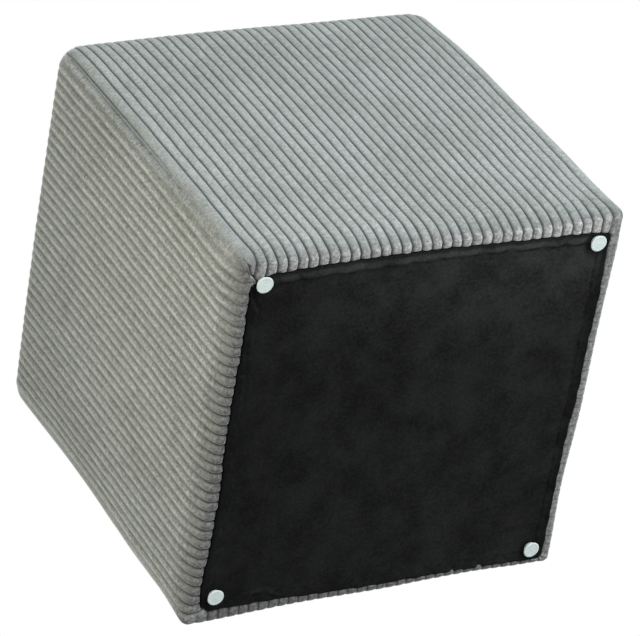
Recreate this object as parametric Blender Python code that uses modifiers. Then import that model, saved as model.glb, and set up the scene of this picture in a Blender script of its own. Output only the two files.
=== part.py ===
"""Cube pouf stool: a ribbed-cloth cube with a seat panel, a black dust cover and four glides.

Metres, +Z up. The stool stands on its glides. The origin is on the floor, under the middle
of the stool. Front is -Y, left is -X. The ribs (wales) of the cloth run straight up the sides,
bend over the seat's edge, and turn under the base, where the dust cover holds them down.
"""
import math

import bmesh
import bpy

MM = 0.001

# ---- Driving dimensions -------------------------------------------------------------------
BASE_SIZE = (300 * MM, 301 * MM)    # X and Y at the underside
SEAT_SIZE = (305.4 * MM, 303.6 * MM)  # X and Y at the seat's edge: the cube flares a little
BODY_HEIGHT = 305.5 * MM            # lowest cloth to the top of the seat's edge
BASE_CORNER_RADIUS = 6 * MM         # upright corners, at the base
SEAT_CORNER_RADIUS = 18.5 * MM      # upright corners, at the seat
TUCK_CORNER_RADIUS = 1.5 * MM       # least radius where the cloth turns under the base
SEAM_CORNER_RADIUS = 7 * MM         # least radius of the seat panel's seam
EDGE_CROWN = 0.6 * MM               # how far an upright edge bows out at half height
FACE_CROWN = 1.5 * MM               # how far a side's middle stands proud of its upright edges

WALE_PITCH = 7.92 * MM              # the cloth's ribs, about three to the inch
WALE_DEPTH = 2.0 * MM
WALES_PER_SIDE = 35                 # even ones; one broad wale more at each corner
CORNER_GROOVE = 0.35                # the groove on a corner is this share of the others
WALE_FLAT = (0.3, 0.7)              # a wale's flat top, as shares of its pitch
LEAN_LEFT = 3.6 * MM                # the left side's wales lean forward by this at the seat
SMOOTH_ANGLE = 50                   # degrees: sharper edges than this stay sharp

GLIDE_HEIGHT = 3.6 * MM
GLIDE_RADIUS = 6.2 * MM
GLIDE_STEPS = 24
GLIDE_MERGE = 0.1 * MM              # points nearer to the axis than this become one
SHEET_THICKNESS = 1.0 * MM
HEM_THICKNESS = 2.0 * MM
HEM_WIDTH = 6 * MM
HEM_PUCKER = 1.2 * MM
FIT = 0.3 * MM                      # clearance between pieces that touch
COVER_RECESS = 2.5 * MM             # the cloth swells below the flat base by this, round its rim

FLAT_BASE = GLIDE_HEIGHT + FIT + HEM_THICKNESS + FIT
CLOTH_FOOT = FLAT_BASE - COVER_RECESS
SEAT_EDGE = CLOTH_FOOT + BODY_HEIGHT

# The body's skin from the middle of the base, round the side, to the seat's recess.
# inset: in from the side's plane. rise: up from the lowest cloth, or from the seat's edge.
# facing: the way the skin faces, in degrees above the horizon. ribs: share of the wale depth.
SKIN_ROWS = (
    # (level,   inset,      rise,          facing, ribs)
    ("base",    18.0 * MM,  COVER_RECESS,  -90,    0.0),
    ("base",    8.2 * MM,   COVER_RECESS,  -90,    0.3),
    ("base",    5.4 * MM,   0.2 * MM,      -85,    1.0),
    ("base",    1.6 * MM,   1.6 * MM,      -45,    1.0),
    ("base",    0.0,        6.0 * MM,      0,      1.0),
    ("middle",  0.0,        0.0,           0,      1.0),
    ("seat",    0.0,        -20.0 * MM,    0,      1.0),
    ("seat",    3.5 * MM,   -6.0 * MM,     40,     1.0),
    ("seat",    12.0 * MM,  0.0,           90,     0.9),
    ("seat",    15.5 * MM,  -3.2 * MM,     120,    0.2),
    ("seat",    16.8 * MM,  -4.2 * MM,     90,     0.0),
)
MITRE_ZONE = 8 * MM                 # the wales crowd together this close to a mitred corner

SEAT_PANEL_INSET = 17.5 * MM        # its foot, in from the seat's edge
SEAT_PANEL_BULGE = 1.8 * MM         # how far it swells out above its foot
SEAT_PANEL_DROP = 4.2 * MM - FIT    # its foot, below the seat's edge
SEAT_CROWN = 7 * MM                 # its middle, above the seat's edge
SEAT_RIM = 0.15                     # width of its outermost strip, as a share of the last wale
SEAT_SQUARENESS = 4                 # a higher power keeps the crown flatter in the middle
SEAT_STEEPNESS = 0.35               # a lower power drops its rim more steeply
SEAT_ROWS = (-1.0, -0.965, -0.88, -0.6, 0.0, 0.6, 0.88, 0.965, 1.0)  # along a wale

# Dust cover: how far its edge lies in from each side of the base, along that side.
# along: share of the half side, from its left end to its right end seen from outside.
COVER_STATIONS = (-0.8, -0.4, 0.0, 0.4, 0.8)
COVER_INSETS = {
    "front": (14.0 * MM, 11.5 * MM, 11.3 * MM, 12.8 * MM, 14.0 * MM),
    "right": (9.6 * MM, 10.8 * MM, 10.6 * MM, 12.6 * MM, 11.3 * MM),
    "back": (9.0 * MM, 10.2 * MM, 10.0 * MM, 11.3 * MM, 11.2 * MM),
    "left": (10.2 * MM, 12.6 * MM, 10.6 * MM, 10.3 * MM, 9.5 * MM),
}
COVER_POINTS = 16                   # outline points a side
# how far the corner after each side is cut back along both of its edges
COVER_CORNER_CUTS = {"front": 3 * MM, "right": 3 * MM, "back": 3 * MM, "left": 11 * MM}

# Glides, nailed on by hand: how far each centre lies in from the two sides of its corner.
GLIDES = (
    # (name,               side x, side y, inset x,   inset y)
    ("glide_front_left",   -1,     -1,     18.0 * MM, 20.1 * MM),
    ("glide_front_right",  1,      -1,     21.7 * MM, 21.8 * MM),
    ("glide_back_right",   1,      1,      22.5 * MM, 19.8 * MM),
    ("glide_back_left",    -1,     1,      20.9 * MM, 24.8 * MM),
)
# A glide's outline, from its seat down its outer side to the middle of its flat foot.
# reach: share of the radius. rise: above the floor.
GLIDE_PROFILE = (
    # (reach, rise)
    (0.0, GLIDE_HEIGHT),
    (0.86, GLIDE_HEIGHT),
    (1.0, 2.8 * MM),
    (1.0, 1.6 * MM),
    (0.94, 0.6 * MM),
    (0.84, 0.15 * MM),
    (0.74, 0.35 * MM),
    (0.66, 0.0),
    (0.0, 0.0),
)

SIDES = ("front", "right", "back", "left")
COLLECTION_NAME = "Cube_Pouf_Stool"


# ---- Small helpers ------------------------------------------------------------------------
def clear_scene():
    for item in list(bpy.data.objects):
        bpy.data.objects.remove(item, do_unlink=True)


def make_material(name, colour, roughness, metallic=0.0):
    material = bpy.data.materials.new(name)
    material.use_nodes = True
    shader = material.node_tree.nodes["Principled BSDF"]
    shader.inputs["Base Color"].default_value = (*colour, 1.0)
    shader.inputs["Roughness"].default_value = roughness
    shader.inputs["Metallic"].default_value = metallic
    return material


def add_object(name, mesh, material, collection, smooth_angle=None):
    mesh.materials.append(material)
    if smooth_angle is not None:
        mesh.shade_smooth()
        mesh.set_sharp_from_angle(angle=math.radians(smooth_angle))
    item = bpy.data.objects.new(name, mesh)
    collection.objects.link(item)
    return item


def mix(low, high, share):
    return low + (high - low) * share


def table_value(places, values, place):
    """Read a short table at any place, with a smooth curve between its rows."""
    if place <= places[0]:
        return values[0]
    for left, right, low, high in zip(places, places[1:], values, values[1:]):
        if place <= right:
            share = (place - left) / (right - left)
            return mix(low, high, share * share * (3 - 2 * share))
    return values[-1]


def skin_loft(mesh_name, rings):
    """A closed skin through rings of equal length, with a flat lid on the first and last."""
    mesh = bmesh.new()
    loops = [[mesh.verts.new(point) for point in ring] for ring in rings]
    count = len(loops[0])
    for lower, upper in zip(loops, loops[1:]):
        for here in range(count):
            there = (here + 1) % count
            mesh.faces.new((lower[here], lower[there], upper[there], upper[here]))
    mesh.faces.new(list(reversed(loops[0])))
    mesh.faces.new(loops[-1])
    bmesh.ops.recalc_face_normals(mesh, faces=mesh.faces)
    data = bpy.data.meshes.new(mesh_name)
    mesh.to_mesh(data)
    mesh.free()
    return data


# ---- Ribbed body --------------------------------------------------------------------------
def box_at(rise):
    """Half sizes and corner radius of the body at a height above its lowest cloth."""
    share = rise / BODY_HEIGHT
    half_x = mix(BASE_SIZE[0], SEAT_SIZE[0], share) / 2
    half_y = mix(BASE_SIZE[1], SEAT_SIZE[1], share) / 2
    crown = EDGE_CROWN * 4 * share * (1 - share)
    return half_x + crown, half_y + crown, mix(BASE_CORNER_RADIUS, SEAT_CORNER_RADIUS, share)


def side_reach(half_width, radius):
    """Length of a side's path, from its middle to the middle of its corner's arc."""
    return half_width - radius + radius * math.pi / 4


def side_point(side, along, half_x, half_y, radius, bulge):
    """The point of a rounded rectangle that lies `along` from the middle of a bulging side."""
    half_width, half_depth = (half_x, half_y) if side in ("front", "back") else (half_y, half_x)
    straight = half_width - radius
    turn = max(abs(along) - straight, 0.0) / radius
    sideways = math.copysign(min(abs(along), straight) + radius * math.sin(turn), along)
    outward = half_depth - radius + radius * math.cos(turn) + bulge
    return {
        "front": (sideways, -outward),
        "right": (outward, sideways),
        "back": (-sideways, outward),
        "left": (-outward, -sideways),
    }[side]


def wale_points(reach):
    """Places along one side, with the share of the wale depth that each lies in."""
    inner = WALES_PER_SIDE * WALE_PITCH / 2
    grooves = [-reach]
    grooves += [number * WALE_PITCH - inner for number in range(WALES_PER_SIDE + 1)]
    grooves.append(reach)
    points = []
    for start, end in zip(grooves, grooves[1:]):
        depth = CORNER_GROOVE if start == -reach else 1.0
        points.append((start, depth))
        points += [(mix(start, end, share), 0.0) for share in WALE_FLAT]
    return points


def squeeze(along, reach, ring_reach):
    """Keep a wale straight where the ring is shorter than the side, and crowd the last ones."""
    free = ring_reach - MITRE_ZONE
    if abs(along) <= free:
        return along
    share = (abs(along) - free) / (reach - free)
    return math.copysign(free + MITRE_ZONE * share, along)


def body_ring(level, inset, rise, facing, ribs):
    height = rise + {"base": 0.0, "middle": BODY_HEIGHT / 2, "seat": BODY_HEIGHT}[level]
    half_x, half_y, radius = box_at(height)
    out = math.cos(math.radians(facing))
    up = math.sin(math.radians(facing))
    least_radius = SEAM_CORNER_RADIUS if level == "seat" else TUCK_CORNER_RADIUS
    ring = []
    for side in SIDES:
        half_width = half_x if side in ("front", "back") else half_y
        reach = side_reach(half_width, radius)
        for along, depth in wale_points(reach):
            sunk = WALE_DEPTH * ribs * depth
            deep = inset + sunk * out
            ring_radius = max(radius - deep, least_radius)
            place = squeeze(along, reach, side_reach(half_width - deep, ring_radius))
            middleness = 1 - (along / reach) ** 2
            if side == "left":
                place += LEAN_LEFT * height / BODY_HEIGHT * middleness
            bulge = FACE_CROWN * middleness if level == "middle" else 0.0
            x, y = side_point(side, place, half_x - deep, half_y - deep, ring_radius, bulge)
            ring.append((x, y, CLOTH_FOOT + height - sunk * up))
    return ring


def build_body(collection, material):
    rings = [body_ring(*row) for row in SKIN_ROWS]
    data = skin_loft("ribbed_body", rings)
    return add_object("ribbed_body", data, material, collection, SMOOTH_ANGLE)


# ---- Seat panel ---------------------------------------------------------------------------
def seat_rise(across, along):
    """Height of the seat panel above its foot: a low cushion that drops fast at its rim."""
    across_dome = 1 - abs(across) ** SEAT_SQUARENESS
    along_dome = 1 - abs(along) ** SEAT_SQUARENESS
    return (across_dome * along_dome) ** SEAT_STEEPNESS


def build_seat_panel(collection, material):
    """A padded panel: a grid whose columns follow its wales, pulled down to a flat base."""
    half_x = SEAT_SIZE[0] / 2 - SEAT_PANEL_INSET
    half_y = SEAT_SIZE[1] / 2 - SEAT_PANEL_INSET
    radius = SEAM_CORNER_RADIUS
    wales = int(2 * half_x / WALE_PITCH)
    edge_wale = half_x - wales * WALE_PITCH / 2
    columns = []
    for number in range(wales):
        start = number * WALE_PITCH - wales * WALE_PITCH / 2
        columns += [(start, 1.0)]
        columns += [(start + WALE_PITCH * share, 0.0) for share in WALE_FLAT]
    columns.append((wales * WALE_PITCH / 2, 1.0))
    rim = half_x - SEAT_RIM * edge_wale
    columns = [(-half_x, 0.0), (-rim, 0.0)] + columns + [(rim, 0.0), (half_x, 0.0)]

    foot = SEAT_EDGE - SEAT_PANEL_DROP
    top = SEAT_EDGE + SEAT_CROWN - foot
    mesh = bmesh.new()
    bmesh.ops.create_grid(
        mesh, x_segments=len(columns) - 1, y_segments=len(SEAT_ROWS) - 1, size=1.0
    )
    ordered = sorted(mesh.verts, key=lambda vert: (round(vert.co.y, 4), vert.co.x))
    for number, vert in enumerate(ordered):
        x, groove = columns[number % len(columns)]
        share = SEAT_ROWS[number // len(columns)]
        past = max(abs(x) - (half_x - radius), 0.0)
        reach = half_y - radius + math.sqrt(max(radius ** 2 - past ** 2, 0.0))
        height = top * seat_rise(x / half_x, share)
        swell = 1 + SEAT_PANEL_BULGE / half_x * min(height / SEAT_PANEL_DROP, 1.0)
        sunk = WALE_DEPTH * groove * min(height / SEAT_PANEL_DROP, 1.0)
        vert.co = (x * swell, share * reach * swell, foot + SHEET_THICKNESS + height - sunk)
    lower = bmesh.ops.extrude_face_region(mesh, geom=mesh.faces[:])["geom"]
    base_faces = [item for item in lower if isinstance(item, bmesh.types.BMFace)]
    for vert in {corner for face in base_faces for corner in face.verts}:
        vert.co.z = foot
    bmesh.ops.dissolve_faces(mesh, faces=base_faces)
    bmesh.ops.recalc_face_normals(mesh, faces=mesh.faces)
    data = bpy.data.meshes.new("seat_panel")
    mesh.to_mesh(data)
    mesh.free()
    return add_object("seat_panel", data, material, collection, SMOOTH_ANGLE)


# ---- Dust cover ---------------------------------------------------------------------------
def cover_ring(extra_inset, height, pucker=0.0):
    """One ring of the dust cover, `extra_inset` in from its edge, with an uneven hem."""
    half_x, half_y = BASE_SIZE[0] / 2, BASE_SIZE[1] / 2
    ring = []
    for number, side in enumerate(SIDES):
        half_width, half_depth = (half_x, half_y) if side in ("front", "back") else (half_y, half_x)
        side_before = SIDES[number - 1]
        side_after = SIDES[(number + 1) % len(SIDES)]
        before = COVER_INSETS[side_before][-1] + COVER_CORNER_CUTS[side_before]
        after = COVER_INSETS[side_after][0] + COVER_CORNER_CUTS[side]
        start = -half_width + before + extra_inset
        end = half_width - after - extra_inset
        for step in range(COVER_POINTS):
            along = mix(start, end, step / (COVER_POINTS - 1))
            inset = table_value(COVER_STATIONS, COVER_INSETS[side], along / half_width)
            inset += extra_inset + pucker * (1 if step % 2 else -1)
            outward = half_depth - inset
            x, y = {
                "front": (along, -outward),
                "right": (outward, along),
                "back": (-along, outward),
                "left": (-outward, -along),
            }[side]
            ring.append((x, y, height))
    return ring


def build_dust_cover(collection, material):
    """One thin sheet whose edge is turned in, so that its hem is twice as thick."""
    top = FLAT_BASE - FIT
    hem_foot = top - HEM_THICKNESS
    sheet_foot = top - SHEET_THICKNESS
    step_width = HEM_THICKNESS / 2
    rings = [
        cover_ring(0.0, top),
        cover_ring(0.0, hem_foot + step_width / 2),
        cover_ring(step_width / 2, hem_foot),
        cover_ring(HEM_WIDTH, hem_foot, HEM_PUCKER),
        cover_ring(HEM_WIDTH + step_width, sheet_foot, HEM_PUCKER),
    ]
    return add_object("dust_cover", skin_loft("dust_cover", rings), material, collection)


# ---- Glides -------------------------------------------------------------------------------
def build_glide(name, x, y, collection, material):
    """A turned plastic glide: its outline is spun round the upright axis."""
    data = bpy.data.meshes.new(name)
    points = [(reach * GLIDE_RADIUS, 0.0, rise) for reach, rise in GLIDE_PROFILE]
    edges = [(number, number + 1) for number in range(len(points) - 1)]
    data.from_pydata(points, edges, [])
    item = add_object(name, data, material, collection)
    item.location = (x, y, 0.0)
    screw = item.modifiers.new("turning", "SCREW")
    screw.steps = GLIDE_STEPS
    screw.render_steps = GLIDE_STEPS
    screw.use_merge_vertices = True
    screw.merge_threshold = GLIDE_MERGE
    screw.use_smooth_shade = True
    return item


def build_glides(collection, material):
    for name, side_x, side_y, inset_x, inset_y in GLIDES:
        x = side_x * (BASE_SIZE[0] / 2 - inset_x)
        y = side_y * (BASE_SIZE[1] / 2 - inset_y)
        build_glide(name, x, y, collection, material)


def build_stool():
    clear_scene()
    collection = bpy.data.collections.new(COLLECTION_NAME)
    bpy.context.scene.collection.children.link(collection)
    ribbed_cloth = make_material("ribbed_cloth", (0.33, 0.36, 0.34), 0.9)
    seat_cloth = make_material("seat_cloth", (0.33, 0.36, 0.34), 0.9)
    black_cloth = make_material("black_cloth", (0.012, 0.012, 0.012), 0.85)
    white_plastic = make_material("white_plastic", (0.72, 0.76, 0.75), 0.4)
    build_body(collection, ribbed_cloth)
    build_seat_panel(collection, seat_cloth)
    build_dust_cover(collection, black_cloth)
    build_glides(collection, white_plastic)


build_stool()
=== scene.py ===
"""Cube pouf stool: the finish of its ribbed cloth, dust cover and glides, and a plain studio.

Metres, +Z up. The stool stands upright on its glides, front -Y, left -X, and the camera looks up
at its underside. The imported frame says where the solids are, and each piece here takes its size
and place from them.
"""
import math

import bmesh
import bpy
import numpy as np
from bpy.props import FloatProperty, FloatVectorProperty, IntProperty, PointerProperty
from mathutils import Matrix, Vector


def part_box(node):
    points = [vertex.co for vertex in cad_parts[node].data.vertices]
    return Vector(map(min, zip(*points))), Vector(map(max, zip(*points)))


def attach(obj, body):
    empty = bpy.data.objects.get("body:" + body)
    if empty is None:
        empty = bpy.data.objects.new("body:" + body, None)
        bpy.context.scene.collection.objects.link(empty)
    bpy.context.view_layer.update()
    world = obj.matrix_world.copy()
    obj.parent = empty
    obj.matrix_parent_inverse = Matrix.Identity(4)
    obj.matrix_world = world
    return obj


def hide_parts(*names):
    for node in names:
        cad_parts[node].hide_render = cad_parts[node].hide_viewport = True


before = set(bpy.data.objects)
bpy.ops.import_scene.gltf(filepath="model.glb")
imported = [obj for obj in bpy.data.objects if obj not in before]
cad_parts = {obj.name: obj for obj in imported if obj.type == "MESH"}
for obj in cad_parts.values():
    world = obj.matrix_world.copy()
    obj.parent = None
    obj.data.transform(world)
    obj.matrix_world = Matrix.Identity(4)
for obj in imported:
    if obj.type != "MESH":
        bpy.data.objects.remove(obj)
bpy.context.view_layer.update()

bl_info = {
    "name": "Cube Pouf Stool",
    "version": (1, 0, 0),
    "blender": (4, 5, 0),
    "location": "View3D > Sidebar > Stool",
    "description": "Makes a ribbed cube stool with a seat panel, a dust cover and four glides",
    "category": "Add Mesh",
}

MM = 0.001
BODY_LOW, BODY_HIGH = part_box("ribbed_body")
COVER_LOW, COVER_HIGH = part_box("dust_cover")
SEAT_LOW, SEAT_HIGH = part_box("seat_panel")
GLIDES = ("glide_front_left", "glide_front_right", "glide_back_right", "glide_back_left")

# ---- Sizes that follow the frame ----------------------------------------------------------
FOOT = BODY_LOW.z                    # the lowest cloth
BODY_HEIGHT = BODY_HIGH.z - FOOT     # from there to the top of the seat's edge
BASE_HALF = (150 * MM, 150.5 * MM)   # half of X and Y at the underside
SEAT_HALF = (152.7 * MM, 151.8 * MM)  # and at the seat's edge
FLARE = (SEAT_HALF[0] - BASE_HALF[0], SEAT_HALF[1] - BASE_HALF[1])

# ---- Shape of the ribbed body -------------------------------------------------------------
SIDES = ("front", "right", "back", "left")
# X and Y along each side, from its left end to its right end seen from outside, and out of it.
SIDE_WAYS = {
    "front": ((1, 0), (0, -1)),
    "right": ((0, 1), (1, 0)),
    "back": ((-1, 0), (0, 1)),
    "left": ((0, -1), (-1, 0)),
}
BASE_RADIUS = 6 * MM                 # upright corners, at the base
SEAT_RADIUS = 18.5 * MM              # upright corners, at the seat
SEAM_RADIUS = 7 * MM                 # the seat's seam
TUCK_RADIUS = 1.5 * MM               # where the cloth is tucked under the base
EDGE_CROWN = 0.6 * MM                # how far an upright edge bows out at half height
WALES_PER_SIDE = 35                  # even wales, without the broad one at each end
SIDE_COUNT = WALES_PER_SIDE + 2      # all the wales of a side
MITRE_ZONE = 8 * MM                  # where columns crowd together beside a mitre
# Heights above the lowest cloth, and in mm how far a side's middle stands proud there, and how
# far the wales at a side's left and right end have strayed to its right. Smooth curves pass near
# these places.
HEIGHTS = (0, 25, 60, 100, 150, 200, 250, 285, 305)
BULGES = (1.5, 1.5, 1.6, 1.8, 2.2, 2.1, 1.4, 0.3, 0.0)
BULGE_EASE = 35 * MM                 # a bulge is full this far from an upright edge
STRAYS = {
    "front": (
        (1.3, -0.5, -0.6, -0.1, 0.0, 0.3, 0.9, -1.1, -2.2),
        (-0.6, -1.1, -1.2, -0.7, -1.0, -1.2, -1.1, -1.5, -2.0),
    ),
    "left": (
        (-2.2, -2.3, -1.8, -0.3, 1.1, 1.8, 1.6, 1.6, 1.4),
        (-3.8, -2.8, -0.8, 0.5, 2.7, 2.9, 2.6, 1.8, 1.6),
    ),
}
CURVE_DEGREE = 5
STRAY_EASE = 18 * MM                 # full this far from a side's ends
# Low down, the left side's stray dies out further from its front end: how much further, and how
# that fades upward, as a start and a height.
FRONT_END_EASE = (44 * MM, 1.35, 24 * MM)
# The last wales before a side's right corner lean toward it, low down: how far, how near to the
# corner that dies out, and up to what height.
CORNER_LEANS = {
    "front": (1.5 * MM, 9 * MM, 32 * MM),
    "left": (1.3 * MM, 6 * MM, 24 * MM),
}
FRONT_LEAN = (2, 0.8)                # on the front this grows from 0.4 to 0.9 of its half width
LEFT_LEAN = (140 * MM, 12 * MM)      # on the left side round this place, over this length
SEAT_ROLL = (12 * MM, 20 * MM)       # the soft edge of the seat: in, and down
SEAT_TAUT = 0.72                     # how much shallower the ribs are over that edge
# How deep the ribs are under the base, as shares, and how far up a side it tells.
UNDER_RIBS = {"front": 1.44, "right": 0.12, "back": 0.35, "left": 1.2}
RIB_REACH = 36 * MM
# The left side's wale ends are flatter toward its front: how much, from where along the side,
# over what length, and up to what height.
FRONT_END_SHALLOW = (0.35, 50 * MM, 70 * MM, 20 * MM)
TUCKS = {"front": 0.2, "right": 0.4, "back": 0.4, "left": 1.0}  # slit at the corner after a side
TUCK_HEIGHT = (0.0, 2 * MM)          # the slit is full below the first, and gone above the other
# The corners' grooves are shallow above this height. The front left one deepens from a share of
# the body's height, over another share, by so much, and there it lies round on the front, by so
# many wales, over a length.
CORNER_FOOT = 5 * MM
CORNER_RISE = (0.15, 0.5)
CORNER_DEEPER = 1.5
CORNER_SHIFT = (0.12, 4 * MM)
# The soft edge round the base: how far in and how far up it reaches.
ROLL_CORNER = (5.4 * MM, 9.0 * MM)
ROLL_MIDDLE = {
    "front": (8.2 * MM, 24.0 * MM),
    "right": (5.6 * MM, 8.0 * MM),
    "back": (5.6 * MM, 8.0 * MM),
    "left": (7.0 * MM, 24.0 * MM),
}
ROLL_EASE = 30 * MM                  # the middle's roll is reached this far from a corner
WALE_END = 3.0 * MM                  # a wale's rounded end, where the cover holds it down
# Rows of the skin under the base, from the middle outwards: inside the cover's edge is positive.
UNDER_ROWS = (30, 14, 10, 7, 4.6, 2.8, 1.5, 0.7, 0.15, -0.4, -0.9, -1.5, -2.2, -3.0)
ROLL_STEPS = 12
SIDE_STEPS = 25
SEAT_STEPS = 9
# The seam behind the seat's edge: in from the side, down from the seat's edge, share of a rib.
SEAM_ROWS = ((14.0, 1.0, 0.3), (15.2, 2.6, 0.2), (16.2, 4.0, 0.0), (22.0, 4.2, 0.0))
SEAM_CRUSH = 0.3                     # the pile is crushed by this share there
# A wale's columns, as shares of its width: close together at its grooves.
WALE_COLUMNS = (0.0, 0.045, 0.11, 0.21, 0.34, 0.5, 0.66, 0.79, 0.89, 0.955)

# Upholstery is never true: soft swellings (+) and hollows (-) of the upright corners.
CORNER_SWELLS = (
    # (x side, y side, amount,    centre, spread, reach)  heights as shares of the body's height
    (1, -1, 1.6 * MM, 0.72, 0.18, 26 * MM),
    (1, -1, -1.1 * MM, 0.13, 0.10, 26 * MM),
    (1, -1, -1.6 * MM, 0.96, 0.12, 26 * MM),
    (-1, 1, -3.5 * MM, 0.60, 0.32, 30 * MM),
    (1, 1, 0.2 * MM, 0.00, 0.10, 40 * MM),
    (-1, 1, 0.3 * MM, 0.00, 0.08, 28 * MM),
    (-1, 1, -1.1 * MM, 0.14, 0.08, 28 * MM),
    (-1, -1, -1.0 * MM, 1.00, 0.12, 26 * MM),
    (-1, -1, 0.5 * MM, 0.55, 0.25, 26 * MM),
)
# Edges of the base that are pulled in (-) or out (+), and edges of the seat that bow out.
EDGE_BOWS = (
    # (side, amount, height, spread,  middle along the side, half length)  heights as shares
    ("right", -2.0 * MM, 0.0, 0.09, -50 * MM, 75 * MM),
    ("right", -3.9 * MM, 0.0, 0.09, 84 * MM, 54 * MM),
    ("back", -4.1 * MM, 0.0, 0.09, -78 * MM, 70 * MM),
    ("back", -2.6 * MM, 0.0, 0.09, 52 * MM, 56 * MM),
    ("back", 1.4 * MM, 0.0, 0.09, 146 * MM, 26 * MM),
    ("left", 1.1 * MM, 1.0, 0.22, 0.0, 110 * MM),
    ("front", 1.3 * MM, 1.0, 0.12, -35 * MM, 75 * MM),
)

# ---- The body's pile ----------------------------------------------------------------------
# The left side's pile is brushed flat above the fold: shallow, softly rounded wales. The grooves
# next to its corners' are shallower still, by so much.
BRUSHED_DEPTH = 0.6
BRUSHED_LAST = 0.45
BRUSHED_HEIGHT = (4 * MM, 14 * MM)
CRUSHED_HEIGHT = 7 * MM              # the pile is crushed below this height
CRUSHED_ROLL = 3.6 * MM              # it takes on the shade of the wales' ends below this one
ROLL_CRUSH = 0.5                     # crushed by this share there
END_CRUSH = (0.6, 1.0)               # and by these under the base: outside the cover, and inside
RIGHT_CRUSH = 0.5                    # the right side's crushed wales are this much shallower
# Painted shade and light on the pile: how light it is painted on the fold under a side, which
# turns away from the light, and on the ends of its wales, painted light on the front's and painted
# shade on the others', and how high up the side, in mm, the fold's painted shade reaches.
FOLD_SHADES = {
    "front": (0.72, 1.45, 20),
    "right": (0.72, 0.64, 12),
    "back": (0.50, 0.36, 12),
    "left": (0.57, 0.38, 25),
}
# Painted light on the front's wale ends: lighter toward its right and toward each wale's right.
# Near a corner, all wale ends take a painted shade.
END_GRADIENT = 0.25                  # the front's wale ends are lighter toward its right
END_SLANT = 0.2                      # and toward the right of each wale
END_CORNER = (0.85, 16 * MM)         # wale ends take this shade at a corner, and this near it
# The pile round the front left corner is rubbed: about how far, how much darker, how crushed.
RUBBED = (10 * MM, 0.1, 0.12)
# Beside that corner the pile is painted darker, as painted shade: how much darker, where it is
# darkest as a distance from the corner, and over what length. That fades in over one part in 7 of
# the height at the foot, and out over one part in 8 at the top.
CORNER_SHADES = {"left": (0.26, 7.5 * MM, 4.5 * MM), "front": (0.14, 0.0, 4.5 * MM)}
CORNER_FADES = (7, 8)

# ---- Seat panel ---------------------------------------------------------------------------
SEAT_MARGIN = 1.5 * MM               # least strip beside its outer wales
SEAT_RIM = (0.0, 0.25, 0.7, 1.3, 2.1)  # columns of that strip, in mm from its edge
SEAT_LIP = (6 * MM, 0.36)            # its rounded edge: how broad, and its share of the rise
SEAT_DOME = (4, 0.6)                 # squareness and steepness of the padding
SEAT_HELD = 4 * MM                   # its ribs rise within this from the seam
SEAT_CRUSH = 0.3                     # the pile is crushed by this share at the seam
SEAT_FIRST = 200                     # the number of its first wale

# ---- Dust cover ---------------------------------------------------------------------------
# How far its edge lies in from each side of the base, at places along that side, from its
# left end to its right end seen from outside. All in mm.
COVER_STATIONS = (-138, -120, -80, -40, 0, 40, 80, 120, 138)
COVER_INSETS = {
    "front": (15.3, 15.3, 13.5, 12.7, 12.7, 13.7, 14.9, 15.5, 17.4),
    "right": (10.3, 10.3, 8.7, 9.4, 8.8, 10.6, 10.2, 9.8, 9.8),
    "back": (7.8, 7.8, 8.8, 8.9, 8.6, 9.4, 11.1, 11.0, 11.0),
    "left": (13.2, 10.6, 12.6, 13.1, 11.0, 10.7, 11.2, 10.2, 10.2),
}
# The corner after each side is cut back along that side and along the next one.
COVER_CUTS = {
    "front": (1.5 * MM, 1 * MM),
    "right": (3 * MM, 3 * MM),
    "back": (6 * MM, 4 * MM),
    "left": (8 * MM, 15 * MM),
}
COVER_UNEVEN = 0.45                  # mm that its edge strays in and out
COVER_COLUMNS = 190                  # a side
# Rings of the cover, in mm in from its edge: above, and below from the edge inwards.
COVER_ABOVE = (128, 60, 12, 1.5)
COVER_EDGE = (0.0, 0.0, 0.15, 0.5, 1.0, 1.8, 2.8, 3.8, 4.6, 5.2, 5.7, 6.2, 6.8, 7.5, 8.4, 9.4)
COVER_BELOW = np.concatenate([COVER_EDGE, np.arange(10.5, 25, 1.2), np.geomspace(26.5, 128, 30)])
# Creases of the cover, as lines from one place to another, and how deep they are.
COVER_CREASES = (
    # (x, y,  x, y, depth)  in mm
    (-142, -128, -128, -105, 0.8),
    (-100, 131, -88, 128.5, -0.5),
    (-88, 128.5, -74, 137, -0.5),
    (-136, -90, -128, -20, 0.25),
    (30, -126, 95, -121, 0.2),
)
CREASE_WIDTH = 1.3                   # mm
SHEET_THICKNESS = 1.0 * MM
HEM_LIP = 0.9 * MM                   # its rounded outer edge
HEM_FOLD = 2.4 * MM                  # the step from the hem down to the single sheet
HEM_PINCH = (0.9 * MM, 0.35)         # a pucker's depth, and its share of the way to the next
# Slack and soft waves of the cover: how high, and where they start or fade, in from its edge.
COVER_SAG = (10 * MM, 50 * MM)
COVER_RIPPLE = (0.25 * MM, 45 * MM, 7 * MM)
COVER_WAVE = (0.2 * MM, 8 * MM, 20 * MM)
# Painted shadow on the cover round each glide.
GLIDE_SHADOW = (0.5, 12 * MM, 6 * MM)  # it is darker round a glide: how much, how far, fading


# ---- Small helpers ------------------------------------------------------------------------
def ease(share):
    """0 to 1, soft at both ends."""
    share = np.clip(share, 0.0, 1.0)
    return share * share * (3 - 2 * share)


def rounded(share):
    """0 to 1 along a quarter of a circle, steep first."""
    return np.sqrt(1 - (1 - np.clip(share, 0.0, 1.0)) ** 2)


def hill(place, centre, spread):
    """1 at the centre, falling to nothing on both sides."""
    return np.exp(-(((place - centre) / spread) ** 2))


def new_object(name, mesh):
    item = bpy.data.objects.new(name, mesh)
    bpy.context.scene.collection.objects.link(item)
    return item


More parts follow.
